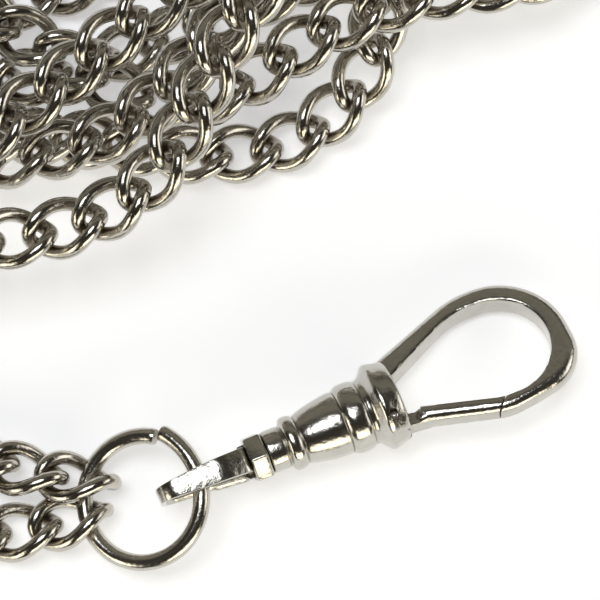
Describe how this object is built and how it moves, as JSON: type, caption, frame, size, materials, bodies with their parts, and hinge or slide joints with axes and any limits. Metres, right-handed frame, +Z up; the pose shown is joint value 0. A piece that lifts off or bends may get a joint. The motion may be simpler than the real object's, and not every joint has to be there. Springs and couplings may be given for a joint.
{
  "type": "pocket watch chain",
  "caption": "Nickel-plated pocket watch chain: a curb chain with both ends on an open jump ring, and a swivelling watch hook with a sprung gate.",
  "frame": {"origin": "on the surface that the chain lies on, under the middle of its bounding box", "axes": "+Z up; +X along the swivel in plan, from its bail to the nose of its hook; +Y from the swivel towards the heap of chain"},
  "size_m": [0.0898, 0.0576, 0.0145],
  "materials": {
    "chain_metal": "polished nickel plate, lightly rubbed",
    "ring_metal": "polished nickel plate",
    "swivel_metal": "polished nickel plate over a turned and filed casting",
    "pin_steel": "riveted steel",
    "spring_steel": "drawn spring wire"
  },
  "bodies": {
    "heap": {"chain_run_01": "chain_metal", "chain_run_02": "chain_metal", "chain_run_03": "chain_metal", "chain_run_04": "chain_metal", "chain_run_05": "chain_metal", "chain_run_06": "chain_metal", "chain_run_07": "chain_metal", "chain_run_08": "chain_metal", "chain_run_09": "chain_metal", "chain_run_10": "chain_metal", "chain_run_11": "chain_metal", "chain_run_12": "chain_metal", "chain_run_13": "chain_metal", "chain_run_14": "chain_metal", "chain_run_15": "chain_metal", "chain_run_16": "chain_metal", "chain_run_17": "chain_metal", "chain_run_18": "chain_metal", "chain_run_19": "chain_metal", "chain_run_20": "chain_metal", "chain_run_21": "chain_metal", "chain_run_22": "chain_metal", "chain_run_23": "chain_metal", "chain_run_24": "chain_metal", "chain_run_25": "chain_metal", "chain_run_26": "chain_metal", "chain_run_27": "chain_metal", "chain_run_28": "chain_metal", "chain_run_29": "chain_metal", "chain_run_30": "chain_metal", "chain_run_31": "chain_metal", "chain_run_32": "chain_metal", "chain_run_33": "chain_metal"},
    "upper_link_6": {"link_upper_6": "chain_metal"},
    "lower_link_6": {"link_lower_6": "chain_metal"},
    "upper_link_5": {"link_upper_5": "chain_metal"},
    "lower_link_5": {"link_lower_5": "chain_metal"},
    "upper_link_4": {"link_upper_4": "chain_metal"},
    "lower_link_4": {"link_lower_4": "chain_metal"},
    "upper_link_3": {"link_upper_3": "chain_metal"},
    "lower_link_3": {"link_lower_3": "chain_metal"},
    "upper_link_2": {"link_upper_2": "chain_metal"},
    "lower_link_2": {"link_lower_2": "chain_metal"},
    "upper_link_1": {"link_upper_1": "chain_metal"},
    "lower_link_1": {"link_lower_1": "chain_metal"},
    "ring": {"jump_ring": "ring_metal"},
    "bail": {"bail": "swivel_metal", "swivel_collar": "swivel_metal", "swivel_rivet": "pin_steel"},
    "hook": {"hook_body": "swivel_metal", "gate_pin": "pin_steel", "gate_spring": "spring_steel"},
    "gate": {"gate": "swivel_metal"}
  },
  "joints": [
    {"name": "upper_fold_6", "type": "hinge", "parent": "heap", "child": "upper_link_6", "pos_m": [-0.0305, -0.01393, 0.00175], "axis": [-0.498, -0.8534, -0.1537], "range_deg": [-30, 16]},
    {"name": "lower_fold_6", "type": "hinge", "parent": "heap", "child": "lower_link_6", "pos_m": [-0.0305, -0.01393, 0.00175], "axis": [-0.498, -0.8534, -0.1537], "range_deg": [-30, 16]},
    {"name": "upper_fold_5", "type": "hinge", "parent": "upper_link_6", "child": "upper_link_5", "pos_m": [-0.02717, -0.01524, 0.00144], "axis": [0.4832, 0.8748, 0.0359], "range_deg": [-24, 30]},
    {"name": "lower_fold_5", "type": "hinge", "parent": "lower_link_6", "child": "lower_link_5", "pos_m": [-0.02717, -0.01524, 0.00144], "axis": [0.4832, 0.8748, 0.0359], "range_deg": [-24, 30]},
    {"name": "upper_fold_4", "type": "hinge", "parent": "upper_link_5", "child": "upper_link_4", "pos_m": [-0.02382, -0.01659, 0.00136], "axis": [-0.4767, -0.879, -0.0096], "range_deg": [-30, 12]},
    {"name": "lower_fold_4", "type": "hinge", "parent": "lower_link_5", "child": "lower_link_4", "pos_m": [-0.02382, -0.01659, 0.00136], "axis": [-0.4767, -0.879, -0.0096], "range_deg": [-30, 12]},
    {"name": "upper_fold_3", "type": "hinge", "parent": "upper_link_4", "child": "upper_link_3", "pos_m": [-0.02054, -0.01809, 0.00147], "axis": [0.4764, 0.8784, 0.0376], "range_deg": [-22, 22]},
    {"name": "lower_fold_3", "type": "hinge", "parent": "lower_link_4", "child": "lower_link_3", "pos_m": [-0.02054, -0.01809, 0.00147], "axis": [0.4764, 0.8784, 0.0376], "range_deg": [-22, 22]},
    {"name": "upper_fold_2", "type": "hinge", "parent": "upper_link_3", "child": "upper_link_2", "pos_m": [-0.01735, -0.01969, 0.00169], "axis": [-0.4768, -0.8739, -0.0945], "range_deg": [-6, 22]},
    {"name": "lower_fold_2", "type": "hinge", "parent": "lower_link_3", "child": "lower_link_2", "pos_m": [-0.01735, -0.01969, 0.00169], "axis": [-0.4768, -0.8739, -0.0945], "range_deg": [-6, 22]},
    {"name": "upper_fold_1", "type": "hinge", "parent": "upper_link_2", "child": "upper_link_1", "pos_m": [-0.01411, -0.02114, 0.00187], "axis": [0.4982, 0.8562, 0.1371], "range_deg": [-15, 15]},
    {"name": "lower_fold_1", "type": "hinge", "parent": "lower_link_2", "child": "lower_link_1", "pos_m": [-0.01411, -0.02114, 0.00187], "axis": [0.4982, 0.8562, 0.1371], "range_deg": [-15, 15]},
    {"name": "ring_tilt", "type": "hinge", "parent": "upper_link_1", "child": "ring", "pos_m": [-0.01162, -0.02207, 0.00179], "axis": [-0.4093, -0.9091, -0.0769], "range_deg": [-33, 6]},
    {"name": "bail_swing", "type": "hinge", "parent": "ring", "child": "bail", "pos_m": [-0.00396, -0.02452, 0.0047], "axis": [-0.1757, -0.9844, 0.0119], "range_deg": [-60, 60]},
    {"name": "hook_turn", "type": "hinge", "parent": "bail", "child": "hook", "pos_m": [0.00112, -0.02431, 0.00385], "axis": [0.9984, 0, -0.0558], "continuous": true},
    {"name": "gate_open", "type": "hinge", "parent": "hook", "child": "gate", "pos_m": [0.01009, -0.02619, 0.00403], "axis": [0.0525, 0.342, 0.9382], "range_deg": [0, 25], "stiffness_Nm_per_rad": 0.002, "springref_deg": -17.19, "deforming": ["gate_spring"]}
  ],
  "couplings": [
    {"joint": "lower_fold_6", "follows": "upper_fold_6", "ratio": 1},
    {"joint": "lower_fold_5", "follows": "upper_fold_5", "ratio": 1},
    {"joint": "lower_fold_4", "follows": "upper_fold_4", "ratio": 1},
    {"joint": "lower_fold_3", "follows": "upper_fold_3", "ratio": 1},
    {"joint": "lower_fold_2", "follows": "upper_fold_2", "ratio": 1},
    {"joint": "lower_fold_1", "follows": "upper_fold_1", "ratio": 1}
  ]
}
